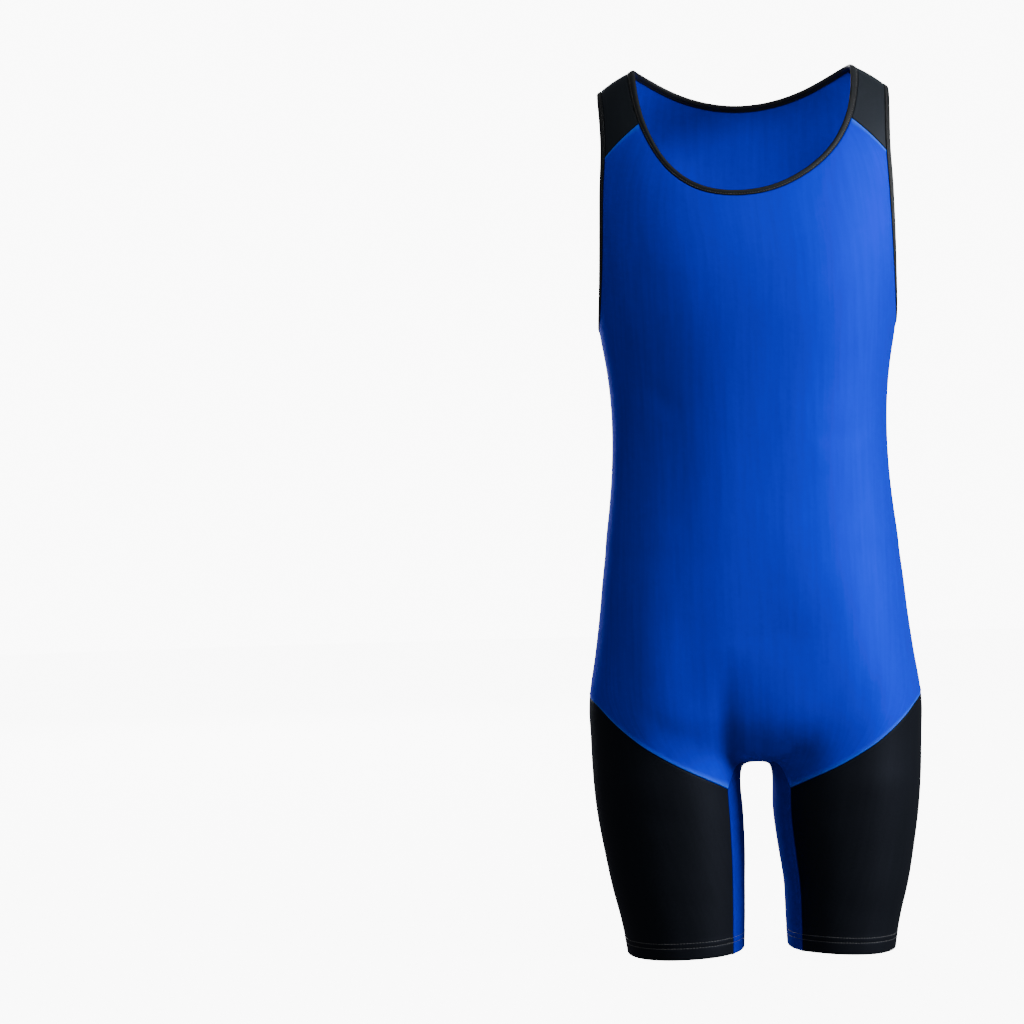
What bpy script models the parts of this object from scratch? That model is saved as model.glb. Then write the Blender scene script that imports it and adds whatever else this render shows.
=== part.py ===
"""Weightlifting singlet, filled out with nobody in it.

The front faces -Y, +Z is up and the origin lies midway between the tops of the two shoulder straps. Left is
the wearer's left, +X. Sizes are in millimetres up to the meshes, which are in metres.
"""

import bpy
import numpy as np
from collections import namedtuple

CLOTH = 1.6  # one layer of knit
HEM_CLOTH = 2.8  # knit turned up at a leg hem
HEM_DEPTH = 19.0
HEM_HEIGHT = -912.0  # hem edge under the middle of a leg
HEM_FALL = 0.04  # drop of the hem towards the outside of the leg
HEM_MIDDLE = 80.0
SEAM_GAP = 0.3
NECK_BINDING = 8.0  # width of the finished edge
ARM_BINDING = 6.5
BINDING_PROUD = 0.6  # how far a binding stands out from the knit beside it
BINDING_THICK = 2.8
ARMHOLE_CENTRE = -150.0

# The general figure that the knit follows
SECTION_POWER = 2.4
END_POWER = 2.2
SHOULDER_START = -140.0  # above this the torso rounds over to the shoulders
SHOULDER_RISE = 156.6
SEAT_START = -560.0  # below this it rounds under to the crotch
SEAT_DROP = 157.5
LEG_TOP = -540.0  # above this each leg rounds over inside the torso
LEG_ROUND = 90.0
SEAT_POWER = 5.0
FOLD_HEIGHT = -722.0  # the fold between torso and legs is tight here and softer above
FOLD_RISE = 60.0
TIGHT_FOLD, SOFT_FOLD = 5.0, 14.0

Torso = namedtuple("Torso", "height half_width front back")
TORSO = (
    Torso(20, 200, 80, 70),
    Torso(-30, 198, 86, 80),
    Torso(-64, 190, 92, 90),
    Torso(-100, 178, 99, 99),
    Torso(-140, 170, 106, 106),
    Torso(-180, 166, 112, 109),
    Torso(-220, 160, 114, 109),
    Torso(-250, 155.5, 113, 105),
    Torso(-280, 151, 110, 101),
    Torso(-310, 146, 106, 97),
    Torso(-344, 142.5, 102, 93),
    Torso(-381, 141.5, 100, 91),
    Torso(-419, 142.7, 100, 93),
    Torso(-456, 145, 101, 99),
    Torso(-494, 147.5, 103, 107),
    Torso(-531, 146.5, 104, 114),
    Torso(-569, 143.5, 104, 119),
    Torso(-606, 141.5, 103, 121),
    Torso(-650, 140, 101, 120),
    Torso(-700, 138, 99, 114),
    Torso(-760, 138, 98, 110),
)
Leg = namedtuple("Leg", "height centre_x centre_y half_width half_depth")
LEG = (
    Leg(-500, 66, 2, 68, 80),
    Leg(-560, 73.5, 4, 76, 92),
    Leg(-606, 78.5, 5, 81, 98),
    Leg(-650, 84.5, 5, 84, 99),
    Leg(-690, 89.5, 4, 81, 98),
    Leg(-715, 92, 4, 78, 97),
    Leg(-731, 92.7, 3, 76.5, 96),
    Leg(-769, 90.6, 2, 75.2, 92),
    Leg(-806, 88.5, 1, 71.5, 87),
    Leg(-844, 86.5, 0, 66.5, 82.5),
    Leg(-881, 82.5, 0, 61.5, 78.5),
    Leg(-912, 80.5, 0, 58, 75.5),
    Leg(-960, 79, 0, 57, 74),
)

# Edge of the neck opening, from the middle of the front over the shoulder to the middle of the back
Edge = namedtuple("Edge", "x height side")
NECK_EDGE = (
    Edge(0, -136, "front"),
    Edge(20, -134, "front"),
    Edge(40, -128, "front"),
    Edge(58, -118, "front"),
    Edge(74, -105, "front"),
    Edge(86, -90, "front"),
    Edge(95, -74, "front"),
    Edge(101.5, -58, "front"),
    Edge(106, -40, "front"),
    Edge(109, -20, "front"),
    Edge(110, -3.5, "front"),
    Edge(105, -3, "back"),
    Edge(97, -5.5, "back"),
    Edge(84, -12, "back"),
    Edge(67, -19.5, "back"),
    Edge(44, -27, "back"),
    Edge(20, -31.5, "back"),
    Edge(0, -33, "back"),
)
# How far from the middle the free edge of an armhole lies at each height
ArmEdge = namedtuple("ArmEdge", "height x")
ARM_EDGE = (
    ArmEdge(10, 149.5),
    ArmEdge(-25, 149.5),
    ArmEdge(-55, 148),
    ArmEdge(-83, 147),
    ArmEdge(-135, 149.3),
    ArmEdge(-187, 150.5),
    ArmEdge(-240, 152),
    ArmEdge(-268, 153),
    ArmEdge(-300, 153.5),
)
# Where the seams of a yoke meet the bindings
Corner = namedtuple("Corner", "x y z")
YOKE_FRONT_NECK = Corner(106, -60, -71)
YOKE_FRONT_ARM = Corner(141, -66, -97)
YOKE_BACK_NECK = Corner(112, 19, -8)
YOKE_BACK_ARM = Corner(145, 27, -40)

# Seam between body and leg, from the side seam to the inside of the leg, the same in front and behind
HIP_SIDE = -646.0
Seam = namedtuple("Seam", "x height")
HIP_SEAM = (
    Seam(158, -659),
    Seam(146, -671),
    Seam(132, -683),
    Seam(116.6, -694.5),
    Seam(101, -704),
    Seam(84, -713.5),
    Seam(66, -722.5),
    Seam(48, -731.5),
    Seam(31.5, -741),
)
# Seam between body and gusset under the crotch, from the end of the hip seam to the middle
CROTCH_SEAM_FRONT = (
    Corner(24, -57, -734),
    Corner(17.5, -48, -722),
    Corner(8, -38, -717),
    Corner(0, -34, -716),
)
CROTCH_SEAM_BACK = (
    Corner(24, 58, -734),
    Corner(17.5, 50, -722),
    Corner(8, 41, -717),
    Corner(0, 38, -716),
)
GUSSET_HEM_X = 35.0  # how far out the gusset reaches at the hem

# Steps along each seam; the two pieces that meet there share its points
NECK_FRONT_STEPS, NECK_TOP_STEPS, NECK_BACK_STEPS = 10, 9, 10
YOKE_STEPS = 4
ARM_FRONT_STEPS, ARM_TOP_STEPS, ARM_BACK_STEPS = 12, 9, 12
SIDE_STEPS = 17
HIP_STEPS, CROTCH_STEPS = 11, 3
GUSSET_STEPS, GUSSET_ACROSS = 9, 7

BLUE = (0.005, 0.090, 0.560)
BLACK = (0.012, 0.013, 0.016)
MIRROR = np.array([-1.0, 1.0, 1.0])
KEY = np.array([0.0, 0.6, 0.8])


def columns_of(table):
    """Each column of a table as heights, values and slopes."""
    at = np.array([row.height for row in table][::-1], float)
    columns = {}
    for name in table[0]._fields[1:]:
        value = np.array([getattr(row, name) for row in table][::-1], float)
        columns[name] = (at, value, np.gradient(value, at))
    return columns


def along(columns, name, height):
    """A smooth curve through one column of a table, level past its ends."""
    at, value, slope = columns[name]
    i = np.clip(np.searchsorted(at, height) - 1, 0, len(at) - 2)
    step = at[i + 1] - at[i]
    t = np.clip((height - at[i]) / step, 0, 1)
    return (
        (1 + 2 * t) * (1 - t) ** 2 * value[i]
        + t * (1 - t) ** 2 * step * slope[i]
        + t**2 * (3 - 2 * t) * value[i + 1]
        - t**2 * (1 - t) * step * slope[i + 1]
    )


TORSO_COLUMNS, LEG_COLUMNS, ARM_COLUMNS = columns_of(TORSO), columns_of(LEG), columns_of(ARM_EDGE)


def form(p):
    """Roughly the distance outside the general figure: torso and two legs, joined softly."""
    x, y, z = p[..., 0], p[..., 1], p[..., 2]
    depth = np.where(y < 0, along(TORSO_COLUMNS, "front", z), along(TORSO_COLUMNS, "back", z))
    torso = (
        (np.abs(x) / along(TORSO_COLUMNS, "half_width", z)) ** SECTION_POWER
        + (np.abs(y) / depth) ** SECTION_POWER
        + np.maximum(0, (z - SHOULDER_START) / SHOULDER_RISE) ** END_POWER
        + np.maximum(0, (SEAT_START - z) / SEAT_DROP) ** SEAT_POWER
    ) ** (1 / SECTION_POWER)
    parts = [110 * (torso - 1)]
    deep = np.abs(y - along(LEG_COLUMNS, "centre_y", z)) / along(LEG_COLUMNS, "half_depth", z)
    for side in (1, -1):
        wide = np.abs(side * x - along(LEG_COLUMNS, "centre_x", z)) / along(LEG_COLUMNS, "half_width", z)
        high = np.maximum(0, (z - LEG_TOP) / LEG_ROUND)
        leg = (wide**END_POWER + deep**END_POWER + high**END_POWER) ** (1 / END_POWER)
        parts.append(75 * (leg - 1))
    rise = np.clip((z - FOLD_HEIGHT) / FOLD_RISE, 0, 1)
    fold = TIGHT_FOLD + (SOFT_FOLD - TIGHT_FOLD) * rise**2 * (3 - 2 * rise)
    return -fold * np.log(sum(np.exp(-np.clip(part, -400, 400) / fold) for part in parts))


def slope_of(p):
    step = 0.02
    return np.stack(
        [(form(p + step * axis) - form(p - step * axis)) / (2 * step) for axis in np.eye(3)], -1
    )


def normal(p):
    g = slope_of(p)
    return g / np.linalg.norm(g, axis=-1, keepdims=True)


def onto(p, times=6):
    """Points moved onto the form, along its slope."""
    for _ in range(times):
        g = slope_of(p)
        p = p - g * (form(p) / (g**2).sum(-1))[..., None]
    return p


def cast(start, way, reach=260.0):
    """Where straight lines from inside the form leave it."""
    low = np.zeros(start.shape[:-1])
    high = np.full(start.shape[:-1], reach)
    for _ in range(45):
        middle = (low + high) / 2
        inside = form(start + way * middle[..., None]) < 0
        low, high = np.where(inside, middle, low), np.where(inside, high, middle)
    return start + way * low[..., None]


def on_face(x, height, side):
    """The point of the front or the back of the form at this x and height."""
    way = np.array([0.0, -1.0 if side == "front" else 1.0, 0.0])
    return cast(np.array([x, 0.0, height], float), way)


def lengths(points):
    steps = np.linalg.norm(np.diff(points, axis=0), axis=1)
    return np.concatenate([[0.0], np.cumsum(steps)])


def spaced(points, count):
    """A polyline cut again into equal steps."""
    at = lengths(points)
    want = np.linspace(0, at[-1], count + 1)
    return np.stack([np.interp(want, at, points[:, k]) for k in range(3)], -1)


def curve(points, count=120):
    """A smooth line on the form near a few given points."""
    points = np.array(points, float)
    at = lengths(points)
    slope = np.gradient(points, at, axis=0)
    want = np.linspace(0, at[-1], count + 1)
    i = np.clip(np.searchsorted(at, want) - 1, 0, len(at) - 2)
    step = (at[i + 1] - at[i])[:, None]
    t = (want - at[i])[:, None] / step
    smooth = (
        (1 + 2 * t) * (1 - t) ** 2 * points[i]
        + t * (1 - t) ** 2 * step * slope[i]
        + t**2 * (3 - 2 * t) * points[i + 1]
        - t**2 * (1 - t) * step * slope[i + 1]
    )
    return onto(spaced(onto(smooth), count))


def relaxed(loop, times):
    """A closed loop with its small unevenness smoothed away."""
    for _ in range(times):
        loop = onto((np.roll(loop, 1, 0) + 2 * loop + np.roll(loop, -1, 0)) / 4, 2)
    return loop


def beside(loop, distance):
    """A closed loop moved sideways over the form, away from its own middle."""
    steps = 4
    for _ in range(steps):
        tangent = np.roll(loop, -1, 0) - np.roll(loop, 1, 0)
        side = np.cross(tangent, normal(loop))
        side /= np.linalg.norm(side, axis=1, keepdims=True)
        middle = loop.mean(0)
        if (side * (loop - middle)).sum(1).mean() < 0:
            side = -side
        loop = onto(loop + side * distance / steps, 3)
    return loop


def nearest(loop, corner):
    return int(np.argmin(np.linalg.norm(loop - np.array(corner, float), axis=1)))


def stretch(loops, first, last, count):
    """The same stretch of several matching loops, in equal steps of the first of them."""
    index = np.arange(first, last + 1 if last >= first else last + 1 + len(loops[0])) % len(loops[0])
    at = lengths(loops[0][index])
    want = np.linspace(0, at[-1], count + 1)
    return [
        onto(np.stack([np.interp(want, at, loop[index][:, k]) for k in range(3)], -1))
        for loop in loops
    ]


def neck_loops():
    """Outer and inner edges of the neck binding; index 0 is the middle of the front."""
    half = np.array([on_face(edge.x, edge.height, edge.side) for edge in NECK_EDGE])
    half = curve(half, 160)
    half[[0, -1], 0] = 0
    inner = np.concatenate([half, (half * MIRROR)[-2:0:-1]])
    inner = relaxed(inner, 60)
    return beside(inner, NECK_BINDING), inner


def arm_loops():
    """Outer and inner edges of the left armhole's binding; index 0 is the lowest point."""
    turn = np.linspace(0, 2 * np.pi, 240, endpoint=False)
    way = np.stack([np.zeros_like(turn), -np.sin(turn), -np.cos(turn)], -1)
    x = np.full(len(turn), 150.0)
    for _ in range(5):
        inner = cast(np.stack([x, 0 * x, 0 * x + ARMHOLE_CENTRE], -1), way)
        x = along(ARM_COLUMNS, "x", inner[:, 2])
    inner = relaxed(inner, 20)
    return beside(inner, ARM_BINDING), inner


def hem_height(x):
    return HEM_HEIGHT - HEM_FALL * (x - HEM_MIDDLE)


def round_leg(turn, above_hem):
    """Points round the left leg at a height above its hem; turn 0 is the outside, -90 degrees the front."""
    z = np.full(len(turn), HEM_HEIGHT + above_hem)
    way = np.stack([np.cos(turn), np.sin(turn), np.zeros_like(turn)], -1)
    for _ in range(4):
        start = np.stack([along(LEG_COLUMNS, "centre_x", z), np.zeros_like(z), z], -1)
        points = cast(start, way, HEM_MIDDLE + 5)
        z = hem_height(points[:, 0]) + above_hem
    return points


def turn_of(point):
    return np.arctan2(point[1], point[0] - along(LEG_COLUMNS, "centre_x", point[2]))


def blend_rows(top, bottom, left, right):
    """A grid between four edges that share their corners, in proportion along the edges."""

    def share(a, b):
        a, b = lengths(a), lengths(b)
        return (a / a[-1] + b / b[-1]) / 2

    u = share(top, bottom)[None, :, None]
    v = share(left, right)[:, None, None]
    return (
        (1 - v) * top[None] + v * bottom[None] + (1 - u) * left[:, None] + u * right[:, None]
        - (1 - u) * (1 - v) * top[0] - u * (1 - v) * top[-1]
        - (1 - u) * v * bottom[0] - u * v * bottom[-1]
    )


def settle(grid, times=60):
    """The inside of a grid laid on the form and evened out."""
    grid = grid.copy()
    grid[1:-1, 1:-1] = onto(grid[1:-1, 1:-1], 12)
    for _ in range(times):
        mean = (grid[:-2, 1:-1] + grid[2:, 1:-1] + grid[1:-1, :-2] + grid[1:-1, 2:]) / 4
        grid[1:-1, 1:-1] = onto(mean, 2)
    return grid


def rim_of(rows, columns):
    """Grid indices once round the edge."""
    across, down = np.arange(columns), np.arange(rows)
    return (
        [(0, j) for j in across[:-1]]
        + [(i, columns - 1) for i in down[:-1]]
        + [(rows - 1, j) for j in across[:0:-1]]
        + [(i, 0) for i in down[:0:-1]]
    )


def drawn_in(grid, distance):
    """A grid whose edge is moved in over the form by one distance all round."""
    rim = rim_of(*grid.shape[:2])
    i, j = np.array(rim).T
    edge = grid[i, j]
    up = normal(edge)
    ahead = np.roll(edge, -1, 0) - edge
    sideways = np.cross(up, ahead)
    sideways /= np.linalg.norm(sideways, axis=1, keepdims=True)
    area = (np.cross(edge - edge.mean(0), np.roll(edge, -1, 0) - edge.mean(0)) * up).sum()
    if area < 0:
        sideways = -sideways
    before = np.roll(sideways, 1, 0)
    both = (sideways + before) / (1 + (sideways * before).sum(1, keepdims=True))
    moved = grid.copy()
    moved[i, j] = onto(edge + distance * both, 3)
    return moved


def wall(name, grid, material, thick=None):
    """A closed wall of cloth whose outer face is the grid."""
    rows, columns = grid.shape[:2]
    grid = drawn_in(grid, SEAM_GAP / 2)
    thick = np.full((rows, columns, 1), CLOTH) if thick is None else thick
    inner = grid - normal(grid) * thick
    points = np.concatenate([grid.reshape(-1, 3), inner.reshape(-1, 3)])
    index = np.arange(rows * columns).reshape(rows, columns)
    faces = np.stack([index[:-1, :-1], index[1:, :-1], index[1:, 1:], index[:-1, 1:]], -1)
    faces = faces.reshape(-1, 4)
    rim = np.array([index[i, j] for i, j in rim_of(rows, columns)])
    after = np.roll(rim, -1)
    under = rows * columns
    # Both pieces at a seam split each step of its rim the same way, from the end that is further along KEY
    swap = points[after] @ KEY > points[rim] @ KEY
    first, last = np.where(swap, after, rim), np.where(swap, rim, after)
    corner = np.where(
        swap[:, None],
        np.stack([last, first, first + under], -1),
        np.stack([first, last, first + under], -1),
    )
    other = np.where(
        swap[:, None],
        np.stack([last, first + under, last + under], -1),
        np.stack([last, last + under, first + under], -1),
    )
    halves = (faces[:, [0, 1, 2]], faces[:, [0, 2, 3]])
    inside = tuple(half[:, ::-1] + under for half in halves)
    return solid(name, points, np.concatenate([*halves, *inside, corner, other]), material)


def solid(name, points, faces, material):
    """A mesh object in metres with its faces turned outwards."""
    a, b, c = (points[faces[:, k]] - points.mean(0) for k in range(3))
    if (np.cross(a, b) * c).sum() < 0:
        faces = faces[:, ::-1]
    mesh = bpy.data.meshes.new(name)
    mesh.from_pydata((points / 1000).tolist(), [], faces.tolist())
    mesh.materials.append(material)
    mesh.shade_smooth()
    made = bpy.data.objects.new(name, mesh)
    collection.objects.link(made)
    return made


def binding(name, outer, inner, material):
    """A closed band over the edge of the cloth, rounded at the opening."""
    width = np.linalg.norm(outer - inner, axis=1).mean()
    proud, deep = BINDING_PROUD, BINDING_PROUD - BINDING_THICK
    section = (
        (SEAM_GAP / 2, 0.0),
        (1.2, proud),
        (width - 1.6, proud),
        (width - 0.4, proud - 0.6),
        (width, (proud + deep) / 2),
        (width - 0.4, deep + 0.6),
        (width - 1.6, deep),
        (SEAM_GAP / 2, deep),
    )
    rings = []
    for across, out in section:
        at = onto(outer + (inner - outer) * across / width, 4)
        rings.append(at + normal(at) * out)
    rings = np.stack(rings, 1)
    count, around = rings.shape[:2]
    index = np.arange(count * around).reshape(count, around)
    ahead, turned = np.roll(index, -1, 0), np.roll(index, -1, 1)
    both = np.roll(ahead, -1, 1)
    halves = ((index, turned, both), (index, both, ahead))
    faces = np.concatenate([np.stack(half, -1).reshape(-1, 3) for half in halves])
    return solid(name, rings.reshape(-1, 3), faces, material)


def mirrored(points):
    return points * MIRROR


def joined(*lines):
    """Lines end to end, each starting at the end of the one before."""
    return np.concatenate([lines[0]] + [line[1:] for line in lines[1:]])


def cloth(name, colour, roughness):
    material = bpy.data.materials.new(name)
    material.use_nodes = True
    shader = material.node_tree.nodes["Principled BSDF"]
    shader.inputs["Base Color"].default_value = (*colour, 1.0)
    shader.inputs["Roughness"].default_value = roughness
    material.diffuse_color = (*colour, 1.0)
    return material


for old in list(bpy.data.objects):
    bpy.data.objects.remove(old, do_unlink=True)
collection = bpy.data.collections.new("weightlifting_singlet")
bpy.context.scene.collection.children.link(collection)

# Edges of the openings
neck_outer, neck_inner = neck_loops()
neck = (neck_outer, neck_inner)
back_middle = len(neck_outer) // 2
front_at, back_at = nearest(neck_outer, YOKE_FRONT_NECK), nearest(neck_outer, YOKE_BACK_NECK)
neck_front = stretch(neck, 0, front_at, NECK_FRONT_STEPS)
neck_top = stretch(neck, front_at, back_at, NECK_TOP_STEPS)
neck_back = stretch(neck, back_at, back_middle, NECK_BACK_STEPS)

arm_outer, arm_inner = arm_loops()
arm = (arm_outer, arm_inner)
front_at, back_at = nearest(arm_outer, YOKE_FRONT_ARM), nearest(arm_outer, YOKE_BACK_ARM)
arm_front = stretch(arm, 0, front_at, ARM_FRONT_STEPS)
arm_top = stretch(arm, front_at, back_at, ARM_TOP_STEPS)
arm_back = stretch(arm, back_at, 0, ARM_BACK_STEPS)

# Seams of the left half
yoke_front = curve([neck_front[0][-1], arm_front[0][-1]], YOKE_STEPS)
yoke_back = curve([neck_top[0][-1], arm_top[0][-1]], YOKE_STEPS)
under_arm = arm_front[0][0]
hip_side = cast(np.array([0.0, 0.0, HIP_SIDE]), np.array([1.0, 0.0, 0.0]))
side_line = [(under_arm[0], 0, z) for z in np.linspace(under_arm[2], HIP_SIDE, 8)]
side_line[0], side_line[-1] = under_arm, hip_side
side = curve(side_line, SIDE_STEPS)
hip, crotch, gusset_seam, gusset_hem = {}, {}, {}, {}
for face, crotch_seam in (("front", CROTCH_SEAM_FRONT), ("back", CROTCH_SEAM_BACK)):
    at = [hip_side] + [on_face(seam.x, seam.height, face) for seam in HIP_SEAM]
    hip[face] = curve(at, HIP_STEPS)
    crotch[face] = curve([hip[face][-1], *crotch_seam], CROTCH_STEPS)
    crotch[face][-1, 0] = 0
    low = HEM_HEIGHT + HEM_FALL * (HEM_MIDDLE - GUSSET_HEM_X)
    end = on_face(GUSSET_HEM_X, low + HEM_DEPTH, face)
    gusset_seam[face] = curve([hip[face][-1], (hip[face][-1] + end) / 2, end], GUSSET_STEPS)
    gusset_hem[face] = on_face(GUSSET_HEM_X, low, face)

# Leg: hem line and hem edge, from the gusset's front seam round the outside to its back seam
turns = {face: turn_of(gusset_hem[face]) for face in ("front", "back")}
outside = np.concatenate(
    [np.linspace(turns["front"], 0, HIP_STEPS + 1), np.linspace(0, turns["back"], HIP_STEPS + 1)[1:]]
)
inside = np.linspace(turns["back"], turns["front"] + 2 * np.pi, GUSSET_ACROSS + 1)
hem_bands = {}
for place, turn in (("leg", outside), ("gusset", inside)):
    rows = [round_leg(turn, above) for above in (HEM_DEPTH, HEM_DEPTH - 0.8, HEM_DEPTH / 2, 0.0)]
    hem_bands[place] = rows
for face, leg_end, gusset_end in (("front", 0, -1), ("back", -1, 0)):
    gusset_seam[face][-1] = hem_bands["leg"][0][leg_end]
    for leg_row, gusset_row in zip(hem_bands["leg"], hem_bands["gusset"]):
        gusset_row[gusset_end] = leg_row[leg_end]

hip_line = joined(hip["front"][::-1], hip["back"])
leg_grid = settle(blend_rows(hip_line, hem_bands["leg"][0], gusset_seam["front"], gusset_seam["back"]))
leg_grid = np.concatenate([leg_grid, np.array(hem_bands["leg"][1:])])

# Gusset: half a strip from the hem up to the middle of the crotch, then the other half
chord = np.linspace(crotch["back"][-1], crotch["front"][-1], GUSSET_ACROSS + 1)
middle = onto(chord, 12)
middle[:, 0] = 0
edges = {face: joined(gusset_seam[face][::-1], crotch[face]) for face in ("front", "back")}
strip = settle(blend_rows(hem_bands["gusset"][0], middle, edges["back"], edges["front"]))
strip = np.concatenate([np.array(hem_bands["gusset"][:0:-1]), strip])
gusset_grid = np.concatenate([strip, mirrored(strip[-2::-1])])
band = len(hem_bands["gusset"]) - 1
inner_rows = slice(band, len(gusset_grid) - band)
gusset_grid[inner_rows] = settle(gusset_grid[inner_rows])

# Body panels, across both halves
front_top = joined(neck_front[0], yoke_front)
front_low = joined(crotch["front"][::-1], hip["front"][::-1])
front_edge = joined(arm_front[0][::-1], side)
back_top = joined(neck_back[0][::-1], yoke_back)
back_low = joined(crotch["back"][::-1], hip["back"][::-1])
back_edge = joined(arm_back[0], side)


def body_grid(top, low, edge):
    tops = joined(mirrored(top[::-1]), top)
    lows = joined(mirrored(low[::-1]), low)
    return settle(blend_rows(tops, lows, mirrored(edge), edge))


blue = cloth("blue_knit", BLUE, 0.45)
black = cloth("black_knit", BLACK, 0.5)
tape = cloth("black_binding", BLACK, 0.6)

wall("front_body", body_grid(front_top, front_low, front_edge), blue)
wall("back_body", body_grid(back_top, back_low, back_edge), blue)

hem_steps = len(hem_bands["leg"]) - 1
thick = np.full((*gusset_grid.shape[:2], 1), CLOTH)
thick[:hem_steps] = HEM_CLOTH
thick[-hem_steps:] = HEM_CLOTH
wall("inseam_gusset", gusset_grid, blue, thick)

thick = np.full((*leg_grid.shape[:2], 1), CLOTH)
thick[-hem_steps:] = HEM_CLOTH
yoke_grid = settle(blend_rows(yoke_back, yoke_front, neck_top[0][::-1], arm_top[0][::-1]))
for place, turned in (("left", lambda points: points), ("right", mirrored)):
    wall(f"leg_{place}", turned(leg_grid), black, thick)
    wall(f"shoulder_yoke_{place}", turned(yoke_grid), black)
    arm_rings = [joined(arm_front[k], arm_top[k], arm_back[k])[:-1] for k in (0, 1)]
    binding(f"armhole_binding_{place}", turned(arm_rings[0]), turned(arm_rings[1]), tape)

neck_rings = []
for k in (0, 1):
    half = joined(neck_front[k], neck_top[k], neck_back[k])
    half[[0, -1], 0] = 0
    neck_rings.append(np.concatenate([half, mirrored(half)[-2:0:-1]]))
binding("neck_binding", neck_rings[0], neck_rings[1], tape)
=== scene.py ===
"""The singlet filled out as when worn, with its seams, sewing and knit, in a plain studio.

The cloth is laid out in millimetres on the same general figure and along the same seam lines as the
solids, and becomes metres where a mesh is made. Left is the wearer's left, +X, and the front faces -Y.
"""

from collections import namedtuple

import bpy
import numpy as np
from mathutils import Matrix, Vector, kdtree


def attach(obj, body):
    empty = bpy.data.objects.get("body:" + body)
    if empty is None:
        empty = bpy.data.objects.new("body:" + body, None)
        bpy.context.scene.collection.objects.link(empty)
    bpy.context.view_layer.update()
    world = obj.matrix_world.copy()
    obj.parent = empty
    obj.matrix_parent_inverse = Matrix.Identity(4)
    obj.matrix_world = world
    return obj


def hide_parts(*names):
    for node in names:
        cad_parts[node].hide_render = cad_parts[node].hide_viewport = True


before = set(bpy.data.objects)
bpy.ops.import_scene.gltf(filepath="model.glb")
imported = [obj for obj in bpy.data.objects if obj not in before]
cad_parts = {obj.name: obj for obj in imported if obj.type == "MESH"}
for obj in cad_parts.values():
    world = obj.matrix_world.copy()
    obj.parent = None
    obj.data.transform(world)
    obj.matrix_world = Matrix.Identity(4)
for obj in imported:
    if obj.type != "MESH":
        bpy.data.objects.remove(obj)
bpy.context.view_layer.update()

CLOTH = 1.6
HEM_CLOTH = 2.8
HEM_DEPTH = 19.0
HEM_HEIGHT = -912.0
HEM_FALL = 0.04  # how much lower the hem lies for each millimetre further out
HEM_MIDDLE = 80.0  # how far out the middle of a leg's hem lies
NECK_BINDING = 8.0
ARM_BINDING = 6.5
ARMHOLE_CENTRE = -150.0
ARMHOLE_X = 150.0  # where the search for its edge starts

# The general figure that the knit follows
SECTION_POWER = 2.4
END_POWER = 2.2
SHOULDER_START = -140.0  # above this the torso rounds over to the shoulders
SHOULDER_RISE = 156.6
SEAT_START = -560.0  # below this it rounds under to the crotch
SEAT_DROP = 157.5
LEG_TOP = -540.0  # above this each leg rounds over inside the torso
LEG_ROUND = 90.0
SEAT_POWER = 5.0
FOLD_HEIGHT = -722.0  # the fold between torso and legs is tight here and softer above
FOLD_RISE = 60.0
TIGHT_FOLD, SOFT_FOLD = 5.0, 14.0
TORSO_SCALE, LEG_SCALE = 110, 75  # about half the width of each, which makes a ratio a distance
FARTHEST = 400.0  # distances are read no further than this


def table(kind, *rows):
    """Rows of numbers with a name for each column."""
    return [kind(*row) for row in rows]


Torso = namedtuple("Torso", "height half_width front back")
TORSO = table(
    Torso,
    (20, 200, 80, 70), (-30, 198, 86, 80), (-64, 190, 92, 90), (-100, 178, 99, 99),
    (-140, 170, 106, 106), (-180, 166, 112, 109), (-220, 160, 114, 109), (-250, 155.5, 113, 105),
    (-280, 151, 110, 101), (-310, 146, 106, 97), (-344, 142.5, 102, 93), (-381, 141.5, 100, 91),
    (-419, 142.7, 100, 93), (-456, 145, 101, 99), (-494, 147.5, 103, 107), (-531, 146.5, 104, 114),
    (-569, 143.5, 104, 119), (-606, 141.5, 103, 121), (-650, 140, 101, 120), (-700, 138, 99, 114),
    (-760, 138, 98, 110),
)
Leg = namedtuple("Leg", "height centre_x centre_y half_width half_depth")
LEG = table(
    Leg,
    (-500, 66, 2, 68, 80), (-560, 73.5, 4, 76, 92), (-606, 78.5, 5, 81, 98),
    (-650, 84.5, 5, 84, 99), (-690, 89.5, 4, 81, 98), (-715, 92, 4, 78, 97),
    (-731, 92.7, 3, 76.5, 96), (-769, 90.6, 2, 75.2, 92), (-806, 88.5, 1, 71.5, 87),
    (-844, 86.5, 0, 66.5, 82.5), (-881, 82.5, 0, 61.5, 78.5), (-912, 80.5, 0, 58, 75.5),
    (-960, 79, 0, 57, 74),
)

# Edge of the neck opening, from the middle of the front over the shoulder to the middle of the back
Edge = namedtuple("Edge", "x height")
NECK_FRONT = table(
    Edge,
    (0, -136), (20, -134), (40, -128), (58, -118), (74, -105), (86, -90), (95, -74), (101.5, -58),
    (106, -40), (109, -20), (110, -3.5),
)
NECK_BACK = table(
    Edge, (105, -3), (97, -5.5), (84, -12), (67, -19.5), (44, -27), (20, -31.5), (0, -33)
)
# How far from the middle the free edge of an armhole lies at each height
ArmEdge = namedtuple("ArmEdge", "height x")
ARM_EDGE = table(
    ArmEdge,
    (10, 149.5), (-25, 149.5), (-55, 148), (-83, 147), (-135, 149.3),
    (-187, 150.5), (-240, 152), (-268, 153), (-300, 153.5),
)
# Where the front and the back seam of a yoke meet the bindings
Corner = namedtuple("Corner", "x y z")
YOKE_AT_NECK = table(Corner, (106, -60, -71), (112, 19, -8))
YOKE_AT_ARM = table(Corner, (141, -66, -97), (145, 27, -40))

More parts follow.
